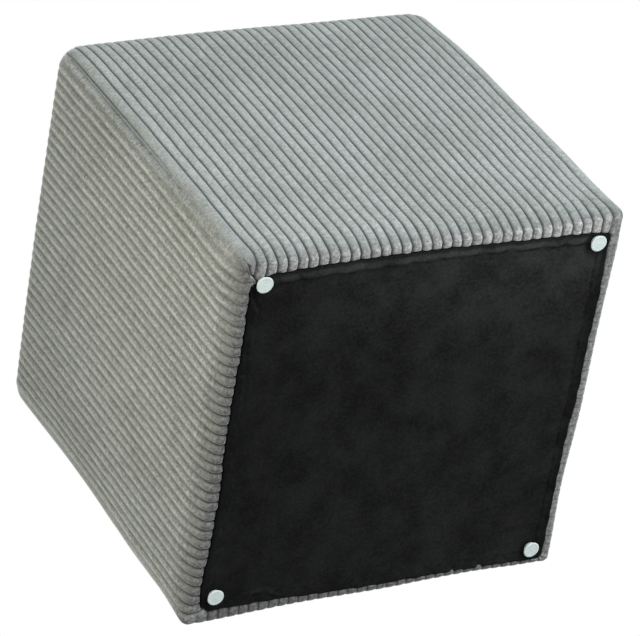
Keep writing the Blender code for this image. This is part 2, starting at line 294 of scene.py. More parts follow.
def grid_mesh(name, points, closed=True, lids=True):
    """A mesh through rows of points; each row is a closed ring, and lids shut the ends."""
    rows, columns = points.shape[:2]
    here = np.arange(columns if closed else columns - 1)
    there = (here + 1) % columns
    faces = []
    for row in range(rows - 1):
        low, high = row * columns, (row + 1) * columns
        faces.append(np.stack([low + here, low + there, high + there, high + here], 1))
    faces = np.concatenate(faces).tolist()
    if lids:
        faces.append(list(range(columns))[::-1])
        faces.append(list(range((rows - 1) * columns, rows * columns)))
    mesh = bpy.data.meshes.new(name)
    mesh.from_pydata(points.reshape(-1, 3).tolist(), [], faces)
    mesh.validate()
    return mesh


def store(mesh, name, values):
    attribute = mesh.attributes.new(name, "FLOAT", "POINT")
    attribute.data.foreach_set("value", np.asarray(values, np.float32).ravel())


def store_map(mesh, name, across, along, turns):
    """A UV map in wales across and wale widths along; turns is the count at the closing seam."""
    layer = mesh.uv_layers.new(name=name)
    corners = np.empty(len(mesh.loops), np.int32)
    mesh.loops.foreach_get("vertex_index", corners)
    u, v = across.ravel()[corners], along.ravel()[corners]
    starts = np.empty(len(mesh.polygons), np.int32)
    sizes = np.empty(len(mesh.polygons), np.int32)
    mesh.polygons.foreach_get("loop_start", starts)
    mesh.polygons.foreach_get("loop_total", sizes)
    quads = starts[sizes == 4][:, None] + np.arange(4)
    wraps = quads[u[quads].max(1) - u[quads].min(1) > turns / 2]
    late = u[wraps] < turns / 2
    u[wraps[late]] += turns
    layer.data.foreach_set("uv", np.stack([u, v], 1).astype(np.float32).ravel())


def mark_cloth(mesh, marks, along, turns):
    """Stores what the cloth is like at each point, with its painted shade, and its map in wales."""
    for name, values in marks.items():
        store(mesh, name, values)
    store_map(mesh, "Wales", marks["wale"], along, turns)


def outward_mesh(mesh, edit=None):
    """Turns a closed mesh's faces outwards. edit is its open bmesh, where it has one."""
    if edit is None:
        edit = bmesh.new()
        edit.from_mesh(mesh)
    bmesh.ops.recalc_face_normals(edit, faces=edit.faces)
    edit.to_mesh(mesh)
    edit.free()
    return mesh


def apply_tree(item, tree, values):
    """Runs a geometry tree on an object with named input values, and keeps the plain mesh."""
    modifier = item.modifiers.new(tree.name, "NODES")
    modifier.node_group = tree
    sockets = {s.name: s for s in tree.interface.items_tree if s.item_type == "SOCKET"}
    for name, value in values.items():
        modifier[sockets[name].identifier] = value
    depsgraph = bpy.context.evaluated_depsgraph_get()
    made = bpy.data.meshes.new_from_object(
        item.evaluated_get(depsgraph), preserve_all_data_layers=True, depsgraph=depsgraph
    )
    item.modifiers.remove(modifier)
    old = item.data
    item.data = made
    bpy.data.meshes.remove(old)
    made.name = item.name


class Tree:
    """Adds linked nodes to a shader or geometry tree. An input is a socket or a plain value."""

    def __init__(self, tree):
        self.tree = tree

    def feed(self, socket, value):
        if isinstance(value, bpy.types.NodeSocket):
            self.tree.links.new(value, socket)
        elif value is not None:
            socket.default_value = value

    def add(self, kind, inputs=None, **settings):
        node = self.tree.nodes.new(kind)
        for name, value in settings.items():
            setattr(node, name, value)
        for key, value in (inputs or {}).items():
            self.feed(node.inputs[key], value)
        return node

    def math(self, operation, *values, clamp=False):
        numbered = dict(enumerate(values))
        return self.add("ShaderNodeMath", numbered, operation=operation, use_clamp=clamp).outputs[0]

    def plus(self, first, second, clamp=False):
        return self.math("ADD", first, second, clamp=clamp)

    def minus(self, first, second, clamp=False):
        return self.math("SUBTRACT", first, second, clamp=clamp)

    def times(self, first, second):
        return self.math("MULTIPLY", first, second)

    def scaled(self, value, factor, more):
        return self.math("MULTIPLY_ADD", value, factor, more)

    def between(self, value, low, high, to_low=0.0, to_high=1.0):
        inputs = {0: value, 1: low, 2: high, 3: to_low, 4: to_high}
        return self.add("ShaderNodeMapRange", inputs, interpolation_type="SMOOTHSTEP").outputs[0]

    def noise(self, vector, scale, detail=2.0, rough=0.5):
        inputs = {"Vector": vector, "Scale": scale, "Detail": detail, "Roughness": rough}
        return self.add("ShaderNodeTexNoise", inputs).outputs[0]

    def mix(self, share, first, second, blend="MIX"):
        node = self.add("ShaderNodeMix", data_type="RGBA", blend_type=blend)
        self.feed(node.inputs[0], share)
        self.feed(node.inputs[6], first)
        self.feed(node.inputs[7], second)
        return node.outputs[2]

    def vector(self, x, y, z):
        return self.add("ShaderNodeCombineXYZ", {0: x, 1: y, 2: z}).outputs[0]

    def grey(self, value):
        return self.add("ShaderNodeCombineColor", {0: value, 1: value, 2: value}).outputs[0]


def new_group(name, kind, inputs, outputs):
    """A node group with named sockets: (name, type, default) in, (name, type) out."""
    group = bpy.data.node_groups.new(name, kind)
    for label, socket_type, default in inputs:
        socket = group.interface.new_socket(label, in_out="INPUT", socket_type=socket_type)
        if default is not None:
            socket.default_value = default
    for label, socket_type in outputs:
        group.interface.new_socket(label, in_out="OUTPUT", socket_type=socket_type)
    tree = Tree(group)
    return group, tree, tree.add("NodeGroupInput").outputs, tree.add("NodeGroupOutput").inputs


# ---- Geometry trees -----------------------------------------------------------------------
def wale_tree():
    """Raises the cloth's wales on a smooth skin.

    The skin carries "wale", the count of wales across it, "rib", the share of a groove's full
    depth, "shallow", less of it at a corner, "brushed", 1 where a wale is softly rounded, "end",
    which falls to 0 where the cloth is held down, and "tuck", the depth of a slit.
    """
    group, tree, given, result = new_group(
        "Corduroy wales",
        "GeometryNodeTree",
        [
            ("Geometry", "NodeSocketGeometry", None),
            ("Depth", "NodeSocketFloat", 2.0 * MM),
            ("Hold", "NodeSocketFloat", 1.25),
            ("Flatness", "NodeSocketFloat", 2.6),
            ("Roundness", "NodeSocketFloat", 0.6),
            ("Wander", "NodeSocketFloat", 0.05),
            ("Lumps", "NodeSocketFloat", 0.25 * MM),
            ("Seed", "NodeSocketFloat", 3.0),
            ("Cloth", "NodeSocketMaterial", None),
        ],
        [("Geometry", "NodeSocketGeometry")],
    )

    def read(name):
        node = tree.add("GeometryNodeInputNamedAttribute", {"Name": name}, data_type="FLOAT")
        return node.outputs["Attribute"]

    wale = read("wale")
    place = tree.add("GeometryNodeInputPosition").outputs[0]
    offset = tree.vector(given["Seed"], given["Seed"], 0.0)
    moved = tree.add("ShaderNodeVectorMath", {0: place, 1: offset}, operation="ADD").outputs[0]
    wander = tree.minus(tree.noise(moved, 45.0, 1.0), 0.5)
    wander = tree.times(wander, given["Wander"])
    phase = tree.math("FRACT", tree.plus(wale, wander))
    away = tree.math("ABSOLUTE", tree.scaled(phase, 2.0, -1.0))
    crown = tree.math("POWER", away, given["Flatness"])
    crown = tree.math("POWER", tree.minus(1.0, crown), given["Roundness"])
    wave = tree.math("COSINE", tree.times(phase, 2 * math.pi))
    brushed = tree.minus(tree.scaled(wave, -0.5, 0.5), crown)
    crown = tree.plus(crown, tree.times(brushed, read("brushed")))
    # A shallow groove keeps most of the crown's height.
    sunk = tree.times(tree.minus(1.0, crown), read("shallow"))
    end = read("end")
    height = tree.times(tree.minus(1.0, sunk), end)
    groove = tree.minus(1.0, height, clamp=True)
    ribbed = tree.times(tree.times(sunk, read("rib")), end)
    held = tree.times(tree.minus(1.0, end), given["Hold"])
    drop = tree.times(tree.plus(ribbed, held), given["Depth"])
    lumps = tree.minus(tree.noise(moved, 90.0, 2.0), 0.5)
    lumps = tree.times(tree.times(lumps, given["Lumps"]), height)
    rise = tree.minus(lumps, tree.plus(drop, read("tuck")))
    normal = tree.add("GeometryNodeInputNormal").outputs[0]
    shift = tree.add("ShaderNodeVectorMath", {0: normal, "Scale": rise}, operation="SCALE")
    kept = tree.add(
        "GeometryNodeStoreNamedAttribute",
        {"Geometry": given["Geometry"], "Name": "groove", "Value": groove},
        data_type="FLOAT",
        domain="POINT",
    )
    raised = tree.add(
        "GeometryNodeSetPosition",
        {"Geometry": kept.outputs[0], "Offset": shift.outputs[0]},
    )
    smooth = tree.add("GeometryNodeSetShadeSmooth", {0: raised.outputs[0]})
    real = tree.add("GeometryNodeRealizeInstances", {0: smooth.outputs[0]})
    dressed = tree.add(
        "GeometryNodeSetMaterial", {"Geometry": real.outputs[0], "Material": given["Cloth"]}
    )
    tree.feed(result[0], dressed.outputs[0])
    return group


# ---- Materials ----------------------------------------------------------------------------
def pile_group():
    """The colour, roughness and height of cut pile, along and across its wales."""
    group, tree, given, result = new_group(
        "Cut pile",
        "ShaderNodeTree",
        [
            ("Crown Colour", "NodeSocketColor", (0.3, 0.33, 0.31, 1)),
            ("Shade Colour", "NodeSocketColor", (0.25, 0.27, 0.25, 1)),
            ("Groove Shade Colour", "NodeSocketColor", (0.06, 0.07, 0.06, 1)),
            ("Crushed Colour", "NodeSocketColor", (0.3, 0.28, 0.29, 1)),
        ],
        [
            ("Colour", "NodeSocketColor"),
            ("Roughness", "NodeSocketFloat"),
            ("Height", "NodeSocketFloat"),
        ],
    )
    cloth = tree.add("ShaderNodeUVMap", uv_map="Wales").outputs[0]
    place = tree.add("ShaderNodeTexCoord").outputs["Object"]

    def stretched(across, along):
        node = tree.add("ShaderNodeMapping", {"Vector": cloth, "Scale": (across, along, 1.0)})
        return node.outputs[0]

    def read(name):
        return tree.add("ShaderNodeAttribute", attribute_name=name).outputs["Fac"]

    groove, crushed = read("groove"), read("crushed")
    patches = tree.noise(place, 16.0, 3.0, 0.55)
    smears = tree.noise(stretched(0.8, 0.45), 1.3, 3.0, 0.6)
    threads = tree.noise(stretched(1.6, 6.4), 1.0, 1.0, 0.6)
    fuzz = tree.noise(place, 1500.0, 2.0, 0.7)
    # Patches and smears where the pile lies the other way.
    shade = tree.plus(tree.between(patches, 0.38, 0.66), tree.between(smears, 0.4, 0.68))
    shade = tree.times(shade, 0.5)
    colour = tree.mix(shade, given["Crown Colour"], given["Shade Colour"])
    # A fine unevenness, rougher where the pile is brushed.
    grain = tree.noise(place, 520.0, 3.0, 0.7)
    fine = tree.plus(tree.times(threads, 0.55), tree.times(fuzz, 0.8))
    fine = tree.plus(fine, tree.scaled(grain, 1.3, -0.325))
    brushed = read("brushed")
    rough = tree.scaled(brushed, 0.5, 1.0)
    fine = tree.scaled(tree.minus(fine, 1.0), rough, 1.0)
    # Crushed pile is dull and speckled.
    speckle = tree.noise(place, 420.0, 4.0, 0.65)
    dull = tree.between(speckle, 0.36, 0.64, 0.5, 1.14)
    flat = tree.mix(1.0, given["Crushed Colour"], tree.grey(dull), "MULTIPLY")
    colour = tree.mix(tree.times(crushed, 0.85), colour, flat)
    colour = tree.mix(1.0, colour, tree.grey(fine), "MULTIPLY")
    # Painted shade in the grooves: the colour turns toward the dark groove colour there, less on
    # brushed wales.
    deep = tree.scaled(brushed, -0.55, 1.0)
    deep = tree.times(tree.between(groove, 0.2, 0.95), deep)
    colour = tree.mix(deep, colour, given["Groove Shade Colour"])
    # Painted highlight and painted shade: brushed wales carry a narrow painted light ridge and are
    # painted darker evenly toward their grooves, and the cloth's painted shade of folds, wale ends
    # and corners darkens it all.
    ridge = tree.scaled(groove, -0.62, tree.between(groove, 0.0, 0.13, 0.21, 0.0))
    ridge = tree.scaled(ridge, brushed, 1.0)
    shadow = tree.times(read("shade"), ridge)
    colour = tree.mix(1.0, colour, tree.grey(shadow), "MULTIPLY")
    tree.feed(result["Colour"], colour)
    tree.feed(result["Roughness"], tree.between(fuzz, 0.3, 0.7, 0.8, 1.0))
    height = tree.plus(tree.times(threads, 0.4), fuzz)
    height = tree.plus(height, tree.times(smears, 0.6))
    tree.feed(result["Height"], height)
    return group


def new_material(name):
    material = bpy.data.materials.new(name)
    material.use_nodes = True
    tree = Tree(material.node_tree)
    return material, tree, material.node_tree.nodes["Principled BSDF"].inputs


def set_plain(shader, **values):
    for name, value in values.items():
        shader[name.replace("_", " ")].default_value = value


def ribbed_cloth(name, colours, group):
    material, tree, shader = new_material(name)
    pile = tree.add("ShaderNodeGroup", node_tree=group)
    for label, value in (
        ("Crown Colour", colours.crown),
        ("Shade Colour", colours.shade),
        ("Groove Shade Colour", colours.groove),
        ("Crushed Colour", colours.crushed),
    ):
        pile.inputs[label].default_value = (*value, 1.0)
    tree.feed(shader["Base Color"], pile.outputs["Colour"])
    tree.feed(shader["Roughness"], pile.outputs["Roughness"])
    bump = tree.add(
        "ShaderNodeBump",
        {"Strength": 0.6, "Distance": 0.25 * MM, "Height": pile.outputs["Height"]},
    )
    tree.feed(shader["Normal"], bump.outputs[0])
    set_plain(shader, Sheen_Weight=1.0, Sheen_Roughness=0.3, Specular_IOR_Level=0.1)
    shader["Sheen Tint"].default_value = (*colours.sheen, 1.0)
    return material


def black_cloth(colours):
    """A pressed black sheet of fibres: faint mottling and grain, and painted light and shade."""
    material, tree, shader = new_material("black_nonwoven")
    place = tree.add("ShaderNodeTexCoord").outputs["Object"]
    mottle = tree.noise(place, 32.0, 5.0, 0.7)
    fibre = tree.noise(place, 420.0, 4.0, 0.7)
    painted_light = tree.add("ShaderNodeAttribute", attribute_name="painted_light").outputs["Fac"]
    amount = tree.scaled(tree.between(mottle, 0.3, 0.7), 0.5, -0.27)
    amount = tree.plus(amount, tree.scaled(fibre, 1.2, -0.6))
    uneven = tree.times(amount, tree.scaled(painted_light, 1.6, 0.22))
    amount = tree.plus(uneven, painted_light, clamp=True)
    colour = tree.mix(amount, (*colours.cover, 1.0), (*colours.cover_light, 1.0))
    tree.feed(shader["Base Color"], colour)
    tree.feed(shader["Roughness"], tree.between(mottle, 0.3, 0.7, 0.72, 0.9))
    grain = tree.plus(fibre, tree.times(tree.noise(place, 260.0, 2.0), 0.8))
    bump = tree.add("ShaderNodeBump", {"Strength": 0.5, "Distance": 0.12 * MM, "Height": grain})
    tree.feed(shader["Normal"], bump.outputs[0])
    set_plain(shader, Specular_IOR_Level=0.1)
    return material


def white_plastic(colours):
    material, tree, shader = new_material("white_moulding")
    place = tree.add("ShaderNodeTexCoord").outputs["Object"]
    cloud = tree.noise(place, 220.0, 3.0, 0.6)
    scuff = tree.noise(place, 900.0, 3.0, 0.65)
    cloud = tree.between(cloud, 0.35, 0.7)
    colour = tree.mix(cloud, (*colours.glide, 1.0), (*colours.glide_shade, 1.0))
    tree.feed(shader["Base Color"], colour)
    tree.feed(shader["Roughness"], tree.between(scuff, 0.35, 0.7, 0.32, 0.55))
    bump = tree.add("ShaderNodeBump", {"Strength": 0.25, "Distance": 0.08 * MM, "Height": scuff})
    tree.feed(shader["Normal"], bump.outputs[0])
    set_plain(shader, Specular_IOR_Level=0.3)
    return material


# ---- The body's skin ----------------------------------------------------------------------
def side_reach(half_width, radius):
    """Length of a side's path, from its middle to the middle of its corner's arc."""
    return half_width - radius + radius * math.pi / 4


SIDE_REACH = side_reach(BASE_HALF[0], BASE_RADIUS)


def wale_columns(pitch):
    """Places along one side for every column of the mesh, from its left end to its right end."""
    inner = WALES_PER_SIDE * pitch / 2
    grooves = [-SIDE_REACH]
    grooves += [number * pitch - inner for number in range(WALES_PER_SIDE + 1)]
    grooves.append(SIDE_REACH)
    shares = np.array(WALE_COLUMNS)
    return np.concatenate([a + (b - a) * shares for a, b in zip(grooves, grooves[1:])])


def smooth_table(place, places, values):
    """Reads a short table at any place, with a smooth curve between its rows."""
    places, values = np.array(places, float), np.array(values, float)
    spot = np.clip(place, places[0], places[-1])
    step = np.clip(np.searchsorted(places, spot) - 1, 0, len(places) - 2)
    share = ease((spot - places[step]) / (places[step + 1] - places[step]))
    return values[step] + (values[step + 1] - values[step]) * share


def curve(height, values):
    """A smooth curve that passes near the values of a short table over HEIGHTS."""
    return np.polyval(np.polyfit(HEIGHTS, values, CURVE_DEGREE), height)


def wale_number(place, pitch):
    """How many wales lie to the left of a place on a side."""
    inner = WALES_PER_SIDE * pitch / 2
    knots = (-SIDE_REACH, -inner, inner, SIDE_REACH)
    return np.interp(place, knots, (0, 1, SIDE_COUNT - 1, SIDE_COUNT))


def cover_inset(side, along):
    """How far the dust cover's edge lies in from a side of the base, a little unevenly."""
    start = SIDES.index(side) * 2.0
    uneven = np.sin(along / (2.9 * MM) + start) * np.sin(along / (13 * MM) + start)
    inset = smooth_table(along, np.array(COVER_STATIONS) * MM, COVER_INSETS[side])
    return (inset + COVER_UNEVEN * uneven) * MM


def squeezed(along, reach_left, reach_right):
    """Columns keep their places, but crowd together beside the mitres of a shorter ring."""
    reach = np.where(along < 0, reach_left, reach_right)
    free = reach - MITRE_ZONE
    share = (np.abs(along) - free) / (SIDE_REACH - free)
    crowded = np.sign(along) * (free + MITRE_ZONE * np.clip(share, 0.0, 1.0))
    return np.where((np.abs(along) <= free) | (reach >= SIDE_REACH - 0.01 * MM), along, crowded)


def half_sizes(side, half):
    """Half a side's width, and how far the side lies from the stool's middle."""
    return half if side in ("front", "back") else half[::-1]


def on_plan(side, along, outward):
    """X and Y of places along a side and out from the stool's middle."""
    right, facing = np.array(SIDE_WAYS[side])
    return along[:, None] * right + outward[:, None] * facing


def strayed(side, place, rise, reach_left, reach_right):
    """Where a side's columns lie, once its wales have strayed and leaned."""
    if side not in STRAYS:
        return place
    further, start, fade = FRONT_END_EASE
    low_down = ease(start - rise / fade) if side == "left" else 0.0
    at_left, at_right = (curve(rise / MM, values) for values in STRAYS[side])
    stray = at_left + (at_right - at_left) * (0.5 + 0.5 * place / SIDE_REACH)
    window = ease((reach_right - place) / (STRAY_EASE + further * low_down))
    window = window * ease((reach_left + place) / STRAY_EASE)
    spot = place + stray * MM * window
    amount, near, top = CORNER_LEANS[side]
    if side == "left":
        window = hill(place, *LEFT_LEAN)
    else:
        steep, start = FRONT_LEAN
        window = ease(place / BASE_HALF[0] * steep - start)
    window = window * ease((reach_right - place) / near)
    return spot + amount * window * ease(1 - rise / top)


def skin_ring(columns, pitch, rise, inset, least_radius):
    """One ring of the skin. rise and inset give each side's values along its columns."""
    ring = {"place": [], "number": [], "point": [], "reach": []}
    for index, side in enumerate(SIDES):
        before, after = SIDES[index - 1], SIDES[(index + 1) % 4]
        share = np.clip(rise[side] / BODY_HEIGHT, 0.0, 1.0)
        crown = EDGE_CROWN * 4 * share * (1 - share)
        half = [BASE_HALF[axis] + FLARE[axis] * share + crown for axis in (0, 1)]
        width, depth = half_sizes(side, half)
        radius = BASE_RADIUS + (SEAT_RADIUS - BASE_RADIUS) * share
        radius = np.maximum(radius - inset[side], least_radius)
        left = width[0] - inset[before][-1]
        right = width[-1] - inset[after][0]
        reach_left, reach_right = side_reach(left, radius[0]), side_reach(right, radius[-1])
        place = squeezed(columns, reach_left, reach_right)
        spot = strayed(side, place, rise[side], reach_left, reach_right)
        end = np.where(spot < 0, left, right)
        straight = end - radius
        turn = np.maximum(np.abs(spot) - straight, 0.0) / radius
        sideways = np.sign(spot) * (np.minimum(np.abs(spot), straight) + radius * np.sin(turn))
        outward = depth - inset[side] - radius + radius * np.cos(turn)
        bulge = curve(rise[side] / MM, BULGES) * MM
        bulge = bulge * ease((SIDE_REACH - np.abs(place)) / BULGE_EASE)
        outward = outward + bulge * np.clip(1 - inset[side] / ROLL_CORNER[0], 0.0, 1.0)
        point = np.column_stack([on_plan(side, sideways, outward), FOOT + rise[side]])
        ring["point"].append(point)
        ring["number"].append(wale_number(place, pitch) + index * SIDE_COUNT)
        ring["reach"].append(np.where(place < 0, reach_left, reach_right) - np.abs(place))
        ring["place"].append(place)
    return {name: np.concatenate(parts) for name, parts in ring.items()}


def skin_rows(columns):
    """Every row of the skin: (rise, inset, least radius, ribs, crushed, held)."""
    edge = {side: cover_inset(side, columns) for side in SIDES}
    nearness = ease((SIDE_REACH - np.abs(columns)) / ROLL_EASE)
    roll_in, roll_up = (
        {s: ROLL_CORNER[i] + (ROLL_MIDDLE[s][i] - ROLL_CORNER[i]) * nearness for s in SIDES}
        for i in (0, 1)
    )
    rows = []
    flat = {side: np.zeros_like(columns) for side in SIDES}

    def ribs(rise):
        """The share of a rib's depth along a ring: each side's own under the base."""
        low_down = {s: ease(1 - rise[s] / RIB_REACH) for s in SIDES}
        return np.concatenate([1 + (UNDER_RIBS[s] - 1) * low_down[s] for s in SIDES])

    def crushed(rise):
        return np.concatenate([ROLL_CRUSH * ease(1 - rise[s] / CRUSHED_ROLL) for s in SIDES])

    for inside in UNDER_ROWS:
        inset = {s: np.maximum(edge[s] + inside * MM, roll_in[s] + 0.2 * MM) for s in SIDES}
        covered = min(max(1 + inside * MM / WALE_END, 0.0), 1.0)
        on_end = END_CRUSH[0] + (END_CRUSH[1] - END_CRUSH[0]) * covered
        rows.append((flat, inset, TUCK_RADIUS, ribs(flat), on_end, True))
    for step in range(ROLL_STEPS + 1):
        angle = math.pi / 2 * (1 - step / ROLL_STEPS)
        rise = {s: roll_up[s] * (1 - math.sin(angle)) for s in SIDES}
        inset = {s: roll_in[s] * (1 - math.cos(angle)) for s in SIDES}
        rows.append((rise, inset, TUCK_RADIUS, ribs(rise), crushed(rise), False))
    top = BODY_HEIGHT - SEAT_ROLL[1]
    for step in range(1, SIDE_STEPS + 1):
        share = step / SIDE_STEPS
        rise = {s: roll_up[s] + (top - roll_up[s]) * share for s in SIDES}
        rows.append((rise, flat, TUCK_RADIUS, ribs(rise), 0.0, False))
    for step in range(1, SEAT_STEPS + 1):
        angle = math.pi / 2 * step / SEAT_STEPS
        rise = {s: flat[s] + top + SEAT_ROLL[1] * math.sin(angle) for s in SIDES}
        inset = {s: flat[s] + SEAT_ROLL[0] * (1 - math.cos(angle)) for s in SIDES}
        taut = 1 - SEAT_TAUT * float(ease(1.6 * step / SEAT_STEPS))
        rows.append((rise, inset, SEAM_RADIUS, ribs(rise) * taut, 0.0, False))
    for inward, down, rib in SEAM_ROWS:
        rise = {s: flat[s] + BODY_HEIGHT - down * MM for s in SIDES}
        inset = {s: flat[s] + inward * MM for s in SIDES}
        rows.append((rise, inset, SEAM_RADIUS, ribs(rise) * rib, SEAM_CRUSH, False))
    return rows


def inside_by(points, outline):
    """How far points lie inside a closed outline; negative outside."""
    start, end = outline, np.roll(outline, -1, 0)
    way = end - start
    away = points[:, None] - start
    along = (away * way).sum(2) / (way * way).sum(1)
    near = away - np.clip(along, 0, 1)[:, :, None] * way
    gap = np.sqrt((near ** 2).sum(2)).min(1)
    crosses = (start[:, 1] > points[:, None, 1]) != (end[:, 1] > points[:, None, 1])
    with np.errstate(divide="ignore", invalid="ignore"):
        at = start[:, 0] + (points[:, None, 1] - start[:, 1]) / way[:, 1] * way[:, 0]
    inside = (crosses & (points[:, None, 0] < at)).sum(1) % 2 == 1
    return np.where(inside, gap, -gap)


def swollen(points):
    """Soft, uneven upholstery: bowed edges, near their side, and swellings of the corners."""
    out = points.copy()
    plan = points[:, :2]
    share = (points[:, 2] - FOOT) / BODY_HEIGHT
    for side, amount, height, spread, middle, half in EDGE_BOWS:
        right, facing = np.array(SIDE_WAYS[side])
        near = ease(plan @ facing / BASE_HALF[0] * 6 - 5) * hill(plan @ right, middle, half)
        push = amount * near * hill(share, height, spread)
        out[:, :2] += push[:, None] * facing
    for side_x, side_y, amount, centre, spread, reach in CORNER_SWELLS:
        ways = np.array((side_x, side_y))
        far = np.maximum(SEAT_HALF - ways * plan, 0).sum(1)
        push = amount * hill(share, centre, spread) * hill(far, 0.0, reach) / math.sqrt(2)
        out[:, :2] += push[:, None] * ways
    return out


def groove_depth(cloth, sides, ring, height, crushed, soft, risen):
    """How deep the grooves of a ring are, as shares of their full depth."""
    from_corner = np.abs((ring["number"] + SIDE_COUNT / 2) % SIDE_COUNT - SIDE_COUNT / 2)
    beside = (from_corner > 0.5) & (from_corner < 1.5)
    shallow = 1 - (1 - BRUSHED_DEPTH) * soft
    shallow *= np.where(beside, 1 - BRUSHED_LAST * soft, 1.0)
    at_corner = cloth.corner_groove * (1 + CORNER_DEEPER * risen)
    shallow = np.where((from_corner < 0.5) & (height > CORNER_FOOT), at_corner, shallow)
    shallow *= 1 - RIGHT_CRUSH * crushed * (sides == "right")
    amount, start, length, top = FRONT_END_SHALLOW
    near_front = ease((ring["place"] - start) / length) * (sides == "left")
    return shallow * (1 - amount * near_front * ease(1 - height / top))


def body_mesh(cloth):
    """The body's skin as rings of points, and what the cloth is like and how it is painted lighter
    or darker at each of them.
    """
    columns = wale_columns(cloth.pitch)
    sides = np.repeat(SIDES, len(columns))

    def by_side(values):
        return np.repeat([values[side] for side in SIDES], len(columns), axis=0).T

    fold_shade, end_shade, shade_reach = by_side(FOLD_SHADES)
    tucks_after = by_side(TUCKS)
    tucks_before = np.roll(tucks_after, len(columns))
    rub_reach, rub_shade, rub_crush = RUBBED
    outline = cover_ring(0.0)
    points, marks, lengths = [], [], []
    travelled, previous = 0.0, None
    for rise, inset, least, rib, crushed, held in skin_rows(columns):
        ring = skin_ring(columns, cloth.pitch, rise, inset, least)
        point, place, number, reach = (ring[key] for key in ("point", "place", "number", "reach"))
        if previous is not None:
            travelled += float(np.median(np.linalg.norm(point - previous, axis=1)))
        previous = point
        end = rounded(-inside_by(point[:, :2], outline) / WALE_END) if held else np.ones(len(point))
        height = point[:, 2] - FOOT
        share = height / BODY_HEIGHT
        at_front_left = ((sides == "left") & (place > 0)) | (number < SIDE_COUNT / 2)
        risen = ease((share - CORNER_RISE[0]) / CORNER_RISE[1]) * at_front_left
        low, high = BRUSHED_HEIGHT
        soft = ease((height - low) / (high - low)) * (sides == "left")
        depth = groove_depth(cloth, sides, ring, height, crushed, soft, risen)
        # Rubbed fully on the nearer half of that reach, and no more a third beyond it.
        rubbed = np.where(at_front_left, ease(1.6 - 1.2 * reach / rub_reach), 0.0)
        # Painted shade and light in the cloth's colour: shade on the fold, light on the front's
        # wale ends, growing toward its right and toward each wale's right, shade on the other
        # sides' wale ends, and shade beside the front left corner.
        shade = 1 + (fold_shade - 1) * ease(1 - height / MM / shade_reach)
        lighter = END_GRADIENT * point[:, 0] / BASE_HALF[0] + END_SLANT * (2 * (number % 1) - 1)
        at_end = end_shade * (1 + lighter * (sides == "front"))
        at_end = END_CORNER[0] + (at_end - END_CORNER[0]) * ease(reach / END_CORNER[1])
        shade = (shade + (at_end - shade) * crushed) * (1 - rub_shade * rubbed)
        window = ease(share * CORNER_FADES[0]) * ease((1 - share) * CORNER_FADES[1]) * at_front_left
        for side, (amount, centre, length) in CORNER_SHADES.items():
            shade = shade * (1 - amount * hill(reach, centre, length) * window * (sides == side))
        low, high = TUCK_HEIGHT
        tuck = hill(reach, 0.0, cloth.tuck_width) * ease((high - height) / (high - low))
        tuck *= np.where(place < 0, tucks_before, tucks_after)
        shift, near = CORNER_SHIFT
        crush = np.maximum(ease(1 - height / CRUSHED_HEIGHT), crushed)
        points.append(point)
        lengths.append(np.full(len(point), travelled / cloth.pitch))
        marks.append(
            {
                "wale": number - shift * hill(reach, 0.0, near) * risen,
                "rib": rib,
                "end": end,
                "shallow": depth,
                "brushed": soft,
                "crushed": np.maximum(crush, rub_crush * rubbed),
                "shade": shade,
                "tuck": tuck * cloth.tuck_depth * end,
            }
        )
    grid = np.array(points)
    mesh = grid_mesh("ribbed_body_skin", swollen(grid.reshape(-1, 3)).reshape(grid.shape))
    marks = {name: np.array([ring[name] for ring in marks]) for name in marks[0]}
    mark_cloth(mesh, marks, np.array(lengths), 4 * SIDE_COUNT)
    return mesh


# ---- The seat panel's skin ----------------------------------------------------------------
def seat_mesh(cloth):
    """A low padded panel on the ledge behind the seat's edge, its wales from front to back."""
    low, high = SEAT_LOW, SEAT_HIGH
    half_x, half_y = high.x, high.y
    wales = int(2 * (half_x - SEAT_MARGIN) / cloth.pitch)
    inner = wales * cloth.pitch / 2
    shares = np.array(WALE_COLUMNS)
    xs = np.concatenate([-inner + cloth.pitch * (n + shares) for n in range(wales)])
    rim = half_x - np.array(SEAT_RIM) * MM
    rim = rim[rim > inner + 0.2 * MM]
    xs = np.concatenate([-rim, xs, [inner], rim[::-1]])
    ys = half_y * np.sin(np.linspace(-math.pi / 2, math.pi / 2, cloth.seat_rows))
    radius = SEAM_RADIUS
    x, y = np.meshgrid(xs, ys)
    past = np.maximum(np.abs(x) - (half_x - radius), 0.0)
    reach = half_y - radius + np.sqrt(np.maximum(radius ** 2 - past ** 2, 0.0))
    y = y * reach / half_y
    edge = np.minimum(half_x - np.abs(x), reach - np.abs(y))
    lip_width, lip_share = SEAT_LIP
    square, steep = SEAT_DOME
    dome = ((1 - (x / half_x) ** square) * (1 - (y / reach) ** square)) ** steep
    rise = lip_share * rounded(edge / lip_width) + (1 - lip_share) * dome
    points = np.stack([x, y, low.z + (high.z - low.z) * rise], 2)
    mesh = grid_mesh("seat_panel_skin", points, closed=False, lids=False)
    held = np.clip(edge / SEAT_HELD, 0, 1)
    marks = {
        "wale": (x + inner) / cloth.pitch + SEAT_FIRST,
        "rib": rounded(held),
        "end": np.ones_like(x),
        "shallow": np.where(np.abs(x) > inner, 0.0, 1.0),
        "brushed": np.zeros_like(x),
        "crushed": SEAT_CRUSH * (1 - held),
        "shade": np.ones_like(x),
        "tuck": np.zeros_like(x),
    }
    mark_cloth(mesh, marks, y / cloth.pitch, math.inf)
    edit = bmesh.new()
    edit.from_mesh(mesh)
    rim_edges = [item for item in edit.edges if item.is_boundary]
    made = bmesh.ops.extrude_edge_only(edit, edges=rim_edges)["geom"]
    for item in made:
        if isinstance(item, bmesh.types.BMVert):
            item.co.z = low.z
    bmesh.ops.contextual_create(edit, geom=[item for item in edit.edges if item.is_boundary])
    return outward_mesh(mesh, edit)


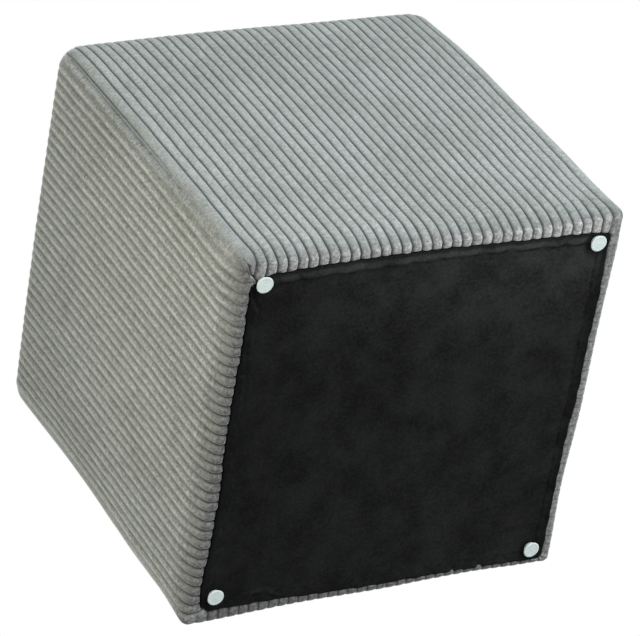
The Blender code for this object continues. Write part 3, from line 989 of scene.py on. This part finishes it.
# ---- The dust cover -----------------------------------------------------------------------
def cover_ring(inward):
    """The dust cover's outline, or a ring that lies inward from it, as x and y."""
    ring = []
    for index, side in enumerate(SIDES):
        before, after = SIDES[index - 1], SIDES[(index + 1) % 4]
        width, depth = half_sizes(side, BASE_HALF)
        start = -width + COVER_INSETS[before][-1] * MM + COVER_CUTS[before][1] + inward
        end = width - COVER_INSETS[after][0] * MM - COVER_CUTS[side][0] - inward
        along = start + (end - start) * np.linspace(0, 1, COVER_COLUMNS)
        ring.append(on_plan(side, along, depth - cover_inset(side, along) - inward))
    return np.concatenate(ring)


def cover_creases(xy):
    """How far the creases lift the cover at places on it, in mm."""
    lift = np.zeros(len(xy))
    for x0, y0, x1, y1, depth in COVER_CREASES:
        start, way = np.array((x0, y0)) * MM, np.array((x1 - x0, y1 - y0)) * MM
        long = np.linalg.norm(way)
        along = ((xy - start) @ way) / long ** 2
        across = ((xy - start) @ np.array((-way[1], way[0]))) / long / MM
        fold = hill(across, 0.0, CREASE_WIDTH) - 0.8 * hill(across, 2 * CREASE_WIDTH, CREASE_WIDTH)
        lift += depth * fold * ease(along * 6) * ease((1 - along) * 3)
    return lift


def hem_round(cloth):
    """Round the cover's edge: the count of its puckers, 0 at one to 1 between two, hem width."""
    ring = cover_ring(0.0)
    steps = np.linalg.norm(np.roll(ring, -1, 0) - ring, axis=1)
    around = np.concatenate([[0], np.cumsum(steps)[:-1]])
    total = steps.sum()
    count = around / total * round(total / cloth.staple_pitch)
    uneven = 0.16 * np.sin(1.7 * count) + 0.11 * np.sin(0.9 * count + 1)
    cusp = np.abs(np.sin(math.pi * (count + uneven)))
    return count, cusp, cloth.hem_width * (0.95 + 0.14 * cusp + 0.12 * np.sin(0.53 * count))


def cover_heights(xy, inward, cloth, count, cusp, hem):
    """Heights of a ring of the cover's underside: hem, sheet, sag and soft waves."""
    depth, pinch_width = HEM_PINCH
    fold = ease((inward - hem) / HEM_FOLD)
    hem_low = COVER_LOW.z + depth * hill(cusp, 0.0, pinch_width) * ease(inward / (3 * MM))
    z = COVER_HIGH.z + (hem_low - COVER_HIGH.z) * rounded(inward / HEM_LIP) * (1 - fold)
    z = z - SHEET_THICKNESS * fold
    start, length = COVER_SAG
    z = z - cloth.cover_slack * ease((inward - start) / length)
    depth, reach, start = COVER_RIPPLE
    ripple = depth * (1 - np.clip(inward / reach, 0, 1)) * ease(inward / start)
    z = z - ripple * (0.5 - 0.5 * np.cos(2 * math.pi * count + 0.8 * np.sin(count)))
    x, y = xy.T
    wave = np.sin(x / (19 * MM) + 2 * np.sin(y / (31 * MM)))
    wave = wave * np.sin(y / (23 * MM) + 1.5 * np.sin(x / (27 * MM)))
    depth, start, length = COVER_WAVE
    z = z + depth * wave * ease((inward - start) / length)
    return z + cover_creases(xy) * MM * ease(inward / (2 * MM))


def cover_painted_light(grid, reach, count, cusp, hem):
    """How light the cover is painted at each of its points, from 0 to 1: painted light and shade.
    """
    x, y = grid[:, :, 0] / BASE_HALF[0], grid[:, :, 1] / BASE_HALF[1]
    # Painted light: lighter toward the front right, where the light falls.
    painted_light = 0.17 + 0.06 * x + ease((-y - 0.2) / 0.75) * (0.20 + 0.16 * x)
    # The hem is painted light along the front, and painted dark along the left and right sides.
    at_front = ease((-y - 0.84) / 0.04)
    on_hem = ease(reach / (2.5 * MM)) * (1 - ease((reach - hem + 1 * MM) / (5 * MM)))
    painted_light = painted_light + 0.40 * on_hem * at_front
    painted_light = painted_light * (1 - 0.65 * on_hem * ease((np.abs(x) - 0.88) / 0.03))
    # Painted shadows of the puckers: a dark line of dashes follows the hem's inner edge, with a
    # painted highlight beside it.
    dashes = (0.5 + 0.5 * np.sin(8 * count + 2 * np.sin(2.3 * count))) ** 2
    line = 0.28 + 0.6 * dashes - (0.2 + 0.2 * dashes) * at_front
    painted_light = painted_light * (1 - hill(reach, hem + 1.6 * MM, 1.2 * MM) * line)
    painted_light = painted_light + 0.06 * hill(reach, hem + 3.2 * MM, 0.9 * MM) * ease(y / 0.3 + 0.5) * cusp
    # Painted shade and light: creases that sink in are painted dark, those that stand out light,
    # and a painted shadow lies round the glides.
    creases = np.array([cover_creases(ring) for ring in grid[:, :, :2]])
    painted_light = np.maximum(painted_light - 0.3 * creases, 0.0)
    darker, far, fade = GLIDE_SHADOW
    for glide in GLIDES:
        low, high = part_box(glide)
        middle = (low + high) / 2
        away = np.hypot(grid[:, :, 0] - middle.x, grid[:, :, 1] - middle.y)
        painted_light = painted_light * (1 - darker * ease((far - away) / fade))
    # Painted shadow in the crevice at its very edge.
    return np.maximum(painted_light, 0.02) * (0.2 + 0.8 * ease(reach / (3.5 * MM)))


def cover_mesh(cloth):
    """One thin sheet: its turned-in hem, the puckers that hold it, and its slack."""
    count, cusp, hem = hem_round(cloth)
    rows = []
    for inward in np.array(COVER_ABOVE) * MM:
        rows.append(np.column_stack([cover_ring(inward), np.full(len(count), COVER_HIGH.z)]))
    for number, inward in enumerate(COVER_BELOW * MM):
        xy = cover_ring(inward)
        z = np.full(len(count), COVER_HIGH.z)
        if number > 0:
            z = cover_heights(xy, inward, cloth, count, cusp, hem)
        rows.append(np.column_stack([xy, z]))
    grid = np.array(rows)
    mesh = grid_mesh("dust_cover", grid)
    reach = np.concatenate([COVER_ABOVE, COVER_BELOW])[:, None] * MM
    store(mesh, "painted_light", cover_painted_light(grid, reach, count, cusp, hem))
    outward_mesh(mesh)
    mesh.shade_smooth()
    return mesh


# ---- Glides -------------------------------------------------------------------------------
# A glide's outline, from its seat down its outer side to the middle of its foot.
GLIDE_PROFILE = (
    # (share of the radius, share of the height above the floor)
    (0.0, 1.0), (0.72, 1.0), (0.75, 0.90), (0.75, 0.50), (0.80, 0.40), (0.91, 0.33), (0.97, 0.25),
    (1.0, 0.16), (0.99, 0.08), (0.95, 0.02), (0.88, 0.0), (0.80, 0.0), (0.75, 0.01), (0.71, 0.02),
    (0.50, 0.03), (0.46, 0.02), (0.42, 0.02), (0.38, 0.03), (0.17, 0.03), (0.12, 0.01), (0.0, 0.01),
)
GLIDE_STEPS = 72
GLIDE_POLE = 0.004                   # share of the radius where its ends are closed


def glide_mesh(name):
    """A turned plastic glide: a thin disc on a stem, with a rounded rim and a faint ring."""
    low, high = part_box(name)
    centre = (low + high) / 2
    radius = (high.x - low.x) / 2
    angles = np.linspace(0, 2 * math.pi, GLIDE_STEPS, endpoint=False)
    rows = []
    for reach, rise in GLIDE_PROFILE:
        reach = max(reach, GLIDE_POLE) * radius
        x, y = centre.x + reach * np.cos(angles), centre.y + reach * np.sin(angles)
        z = np.full_like(angles, low.z + rise * (high.z - low.z))
        rows.append(np.column_stack([x, y, z]))
    mesh = outward_mesh(grid_mesh(name + "_turned", np.array(rows)))
    mesh.shade_smooth()
    return mesh


# ---- Settings -----------------------------------------------------------------------------
def number_property(name, description, default, **settings):
    return FloatProperty(name=name, description=description, default=default, **settings)


def length_property(name, description, default):
    return number_property(name, description, default, unit="LENGTH")


def colour_property(name, description, default):
    return FloatVectorProperty(
        name=name, description=description, default=default, subtype="COLOR", min=0.0, max=1.0
    )


class StoolCloth(bpy.types.PropertyGroup):
    pitch: length_property("Wale Pitch", "Width of one wale", 7.92 * MM)
    depth: length_property("Wale Depth", "Depth of a groove", 2.0 * MM)
    flatness: number_property("Flatness", "Broader crowns when higher", 2.2)
    roundness: number_property("Roundness", "Rounder flanks when higher", 0.7)
    wander: number_property("Wander", "How far a groove strays, in wales", 0.22)
    lumps: length_property("Lumps", "Uneven height of the pile", 0.5 * MM)
    corner_groove: number_property("Corner Groove", "Depth of a corner's groove, as a share", 0.35)
    tuck_depth: length_property("Tuck Depth", "Slit where the corner is tucked", 2.4 * MM)
    tuck_width: length_property("Tuck Width", "Width of that slit", 0.9 * MM)
    seat_rows: IntProperty(name="Seat Rows", description="Rows of the seat's mesh", default=90)
    staple_pitch: length_property("Staple Pitch", "Between the hem's puckers", 21 * MM)
    hem_width: length_property("Hem Width", "Turned-in edge of the cover", 6 * MM)
    cover_slack: length_property("Cover Slack", "Sag of the dust cover", 0.5 * MM)


class StoolColours(bpy.types.PropertyGroup):
    crown: colour_property("Crown", "Brushed pile on a wale", (0.337, 0.354, 0.340))
    shade: colour_property("Shade", "Pile that lies the other way", (0.265, 0.278, 0.262))
    # The ground cloth between wales, darkened with painted shade in the grooves.
    groove: colour_property("Groove", "Ground cloth between wales", (0.062, 0.068, 0.062))
    crushed: colour_property("Crushed", "Pile crushed under the base", (0.316, 0.307, 0.301))
    sheen: colour_property("Sheen", "Tips of the pile", (0.85, 0.9, 0.87))
    cover: colour_property("Cover", "Dust cover", (0.002, 0.002, 0.002))
    # The dust cover's colour where its painted light is strongest.
    cover_light: colour_property("Cover Light", "Dust cover's worn fibres", (0.035, 0.035, 0.035))
    glide: colour_property("Glide", "Glides", (0.58, 0.635, 0.618))
    glide_shade: colour_property("Glide Shade", "Glides' clouding", (0.50, 0.57, 0.555))


class StoolStage(bpy.types.PropertyGroup):
    azimuth: number_property("Azimuth", "Camera's way round, in degrees", -41.673)
    elevation: number_property("Elevation", "Camera's height, in degrees", -46.615)
    roll: number_property("Roll", "Camera's roll, in degrees", -40.638)
    distance: length_property("Distance", "Camera to its aim", 2.9578)
    focal: number_property("Focal Length", "On a 36 mm sensor", 230.84)
    ambient: number_property("Ambient", "Light from all round", 0.46)


# ---- Operators ----------------------------------------------------------------------------
def finish_piece(item, node):
    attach(item, "root")
    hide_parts(node)


def corduroy(scene, name):
    """A material of the stool's corduroy, under a name."""
    group = bpy.data.node_groups.get("Cut pile") or pile_group()
    return ribbed_cloth(name, scene.stool_colours, group)


def raise_wales(item, cloth, material):
    """Gives a smooth skin its wales and its cloth."""
    tree = bpy.data.node_groups.get("Corduroy wales") or wale_tree()
    names = ("depth", "flatness", "roundness", "wander", "lumps")
    values = {name.title(): getattr(cloth, name) for name in names}
    apply_tree(item, tree, {**values, "Cloth": material})


class STOOL_OT_ribbed_body(bpy.types.Operator):
    """Makes the body's ribbed cloth, from under the base to the seat's seam"""

    bl_idname = "stool.ribbed_body"
    bl_label = "Ribbed Body"

    def execute(self, context):
        scene = context.scene
        item = new_object("ribbed_cloth_body", body_mesh(scene.stool_cloth))
        raise_wales(item, scene.stool_cloth, corduroy(scene, "ribbed_corduroy"))
        finish_piece(item, "ribbed_body")
        return {"FINISHED"}


class STOOL_OT_seat_panel(bpy.types.Operator):
    """Makes the padded seat panel"""

    bl_idname = "stool.seat_panel"
    bl_label = "Seat Panel"

    def execute(self, context):
        scene = context.scene
        item = new_object("ribbed_cloth_seat", seat_mesh(scene.stool_cloth))
        raise_wales(item, scene.stool_cloth, corduroy(scene, "seat_corduroy"))
        finish_piece(item, "seat_panel")
        return {"FINISHED"}


class STOOL_OT_dust_cover(bpy.types.Operator):
    """Makes the black sheet under the base"""

    bl_idname = "stool.dust_cover"
    bl_label = "Dust Cover"

    def execute(self, context):
        scene = context.scene
        item = new_object("black_dust_cover", cover_mesh(scene.stool_cloth))
        item.data.materials.append(black_cloth(scene.stool_colours))
        finish_piece(item, "dust_cover")
        return {"FINISHED"}


class STOOL_OT_glides(bpy.types.Operator):
    """Makes the four nail-on glides"""

    bl_idname = "stool.glides"
    bl_label = "Glides"

    def execute(self, context):
        material = white_plastic(context.scene.stool_colours)
        for node in GLIDES:
            item = new_object(node + "_turned", glide_mesh(node))
            item.data.materials.append(material)
            finish_piece(item, node)
        return {"FINISHED"}


# ---- Stage --------------------------------------------------------------------------------
MIDDLE = Vector((0.0068, 0.0053, 0.147))   # where the camera's axis passes the stool's middle
FLOOR_RADIUS = 6.0
COOL, WARM, WHITE = (0.85, 0.934, 0.985), (1.0, 0.95, 0.75), (1.0, 1.0, 1.0)
# Soft square lights that shine at the stool's middle. One low one would make a bright patch on
# the floor, and spares it.
LIGHTS = (
    # (name, toward, distance, size, power, colour, lights the floor)
    ("key_front", (0.25, -1.0, -0.5), 3.0, 1.6, 93.5, COOL, True),
    ("fill_left", (-1.0, 0.1, -0.3), 1.8, 1.0, 4.15, WHITE, True),
    ("near_left", (-0.557, -0.155, -0.1), 0.587, 0.3, 1.22, WARM, False),
    ("under_right", (0.35, -0.45, -0.8), 0.9, 0.3, 1.8, WHITE, True),
    ("over_seat", (0.2, 0.4, 1.0), 2.4, 1.8, 12, WHITE, True),
    ("behind_right", (0.95, 0.95, 1.0), 2.6, 1.6, 45, WHITE, True),
)


def add_light(name, toward, distance, size, power, colour):
    """A soft square light that shines at the stool's middle from a direction."""
    light = bpy.data.lights.new(name, "AREA")
    light.energy = power
    light.size = size
    light.color = colour
    item = new_object(name, light)
    way = Vector(toward).normalized()
    item.location = MIDDLE + way * distance
    item.rotation_euler = way.to_track_quat("Z", "Y").to_euler()
    return item


def spare(light, item):
    """Keeps a light off an object."""
    unlit = bpy.data.collections.new("unlit_by_" + light.name)
    unlit.objects.link(item)
    light.light_linking.receiver_collection = unlit
    unlit.collection_objects[0].light_linking.link_state = "EXCLUDE"


def add_floor():
    """A round floor that shows from above, and lets the camera look up through it."""
    mesh = bpy.data.meshes.new("studio_floor")
    edit = bmesh.new()
    bmesh.ops.create_circle(edit, cap_ends=True, segments=128, radius=FLOOR_RADIUS)
    edit.to_mesh(mesh)
    edit.free()
    item = new_object("studio_floor", mesh)
    material, tree, shader = new_material("studio_floor_paint")
    place = tree.add("ShaderNodeTexCoord").outputs["Object"]
    cloud = tree.between(tree.noise(place, 1.5, 2.0), 0.3, 0.7, 0.80, 0.84)
    tree.feed(shader["Base Color"], tree.grey(cloud))
    set_plain(shader, Roughness=0.9, Specular_IOR_Level=0.1)
    clear = tree.add("ShaderNodeBsdfTransparent").outputs[0]
    behind = tree.add("ShaderNodeNewGeometry").outputs["Backfacing"]
    paint = material.node_tree.nodes["Principled BSDF"].outputs[0]
    one_sided = tree.add("ShaderNodeMixShader", {0: behind, 1: paint, 2: clear})
    output = material.node_tree.nodes["Material Output"]
    tree.feed(output.inputs["Surface"], one_sided.outputs[0])
    mesh.materials.append(material)
    item.visible_shadow = False
    item.visible_diffuse = False
    item.visible_glossy = False
    return item


def add_camera(scene, stage):
    """The camera, aimed at the middle from its way round and height, and rolled."""
    camera = bpy.data.cameras.new("camera")
    camera.sensor_width = 36.0
    camera.lens = stage.focal
    camera.clip_start, camera.clip_end = 0.05, 50.0
    item = new_object("camera", camera)
    turn, lift = math.radians(stage.azimuth), math.radians(stage.elevation)
    back = Vector(
        (math.sin(turn) * math.cos(lift), -math.cos(turn) * math.cos(lift), math.sin(lift))
    )
    level = (-back).cross(Vector((0, 0, 1))).normalized()
    up = level.cross(-back)
    roll = math.radians(stage.roll)
    right = level * math.cos(roll) + up * math.sin(roll)
    upward = up * math.cos(roll) - level * math.sin(roll)
    spot = MIDDLE + back * stage.distance
    rows = [(*row, place) for row, place in zip(zip(right, upward, back), spot)]
    item.matrix_world = Matrix(rows + [(0, 0, 0, 1)])
    scene.camera = item


def add_surroundings(scene, stage):
    """A white backdrop for the camera, and a softer light from all round."""
    world = bpy.data.worlds.new("studio")
    scene.world = world
    world.use_nodes = True
    tree = Tree(world.node_tree)
    seen = world.node_tree.nodes["Background"]
    seen.inputs["Color"].default_value = (1, 1, 1, 1)
    seen.inputs["Strength"].default_value = 1.0
    lit = tree.add("ShaderNodeBackground", {"Color": (1, 1, 1, 1), "Strength": stage.ambient})
    ray = tree.add("ShaderNodeLightPath").outputs["Is Camera Ray"]
    both = tree.add("ShaderNodeMixShader", {0: ray, 1: lit.outputs[0], 2: seen.outputs[0]})
    tree.feed(world.node_tree.nodes["World Output"].inputs["Surface"], both.outputs[0])


class STOOL_OT_stage(bpy.types.Operator):
    """Makes the pale floor, the lights, the surroundings and the camera"""

    bl_idname = "stool.stage"
    bl_label = "Stage"

    def execute(self, context):
        scene = context.scene
        floor = add_floor()
        add_camera(scene, scene.stool_stage)
        add_surroundings(scene, scene.stool_stage)
        for *settings, lights_floor in LIGHTS:
            light = add_light(*settings)
            if not lights_floor:
                spare(light, floor)
        scene.view_settings.view_transform = "Standard"
        return {"FINISHED"}


OPERATORS = (
    STOOL_OT_stage,
    STOOL_OT_ribbed_body,
    STOOL_OT_seat_panel,
    STOOL_OT_dust_cover,
    STOOL_OT_glides,
)


class STOOL_PT_panel(bpy.types.Panel):
    bl_label = "Cube Pouf Stool"
    bl_idname = "STOOL_PT_panel"
    bl_space_type = "VIEW_3D"
    bl_region_type = "UI"
    bl_category = "Stool"

    def draw(self, context):
        for settings in ("stool_cloth", "stool_colours", "stool_stage"):
            group = getattr(context.scene, settings)
            box = self.layout.box()
            for name in group.bl_rna.properties.keys():
                if name not in ("rna_type", "name"):
                    box.prop(group, name)
        for operator in OPERATORS:
            self.layout.operator(operator.bl_idname)


CLASSES = (StoolCloth, StoolColours, StoolStage, *OPERATORS, STOOL_PT_panel)


def register():
    for item in CLASSES:
        bpy.utils.register_class(item)
    bpy.types.Scene.stool_cloth = PointerProperty(type=StoolCloth)
    bpy.types.Scene.stool_colours = PointerProperty(type=StoolColours)
    bpy.types.Scene.stool_stage = PointerProperty(type=StoolStage)


def unregister():
    del bpy.types.Scene.stool_stage
    del bpy.types.Scene.stool_colours
    del bpy.types.Scene.stool_cloth
    for item in reversed(CLASSES):
        bpy.utils.unregister_class(item)


def main():
    register()
    bpy.ops.stool.stage()
    bpy.ops.stool.ribbed_body()
    bpy.ops.stool.seat_panel()
    bpy.ops.stool.dust_cover()
    bpy.ops.stool.glides()


if __name__ == "__main__":
    main()
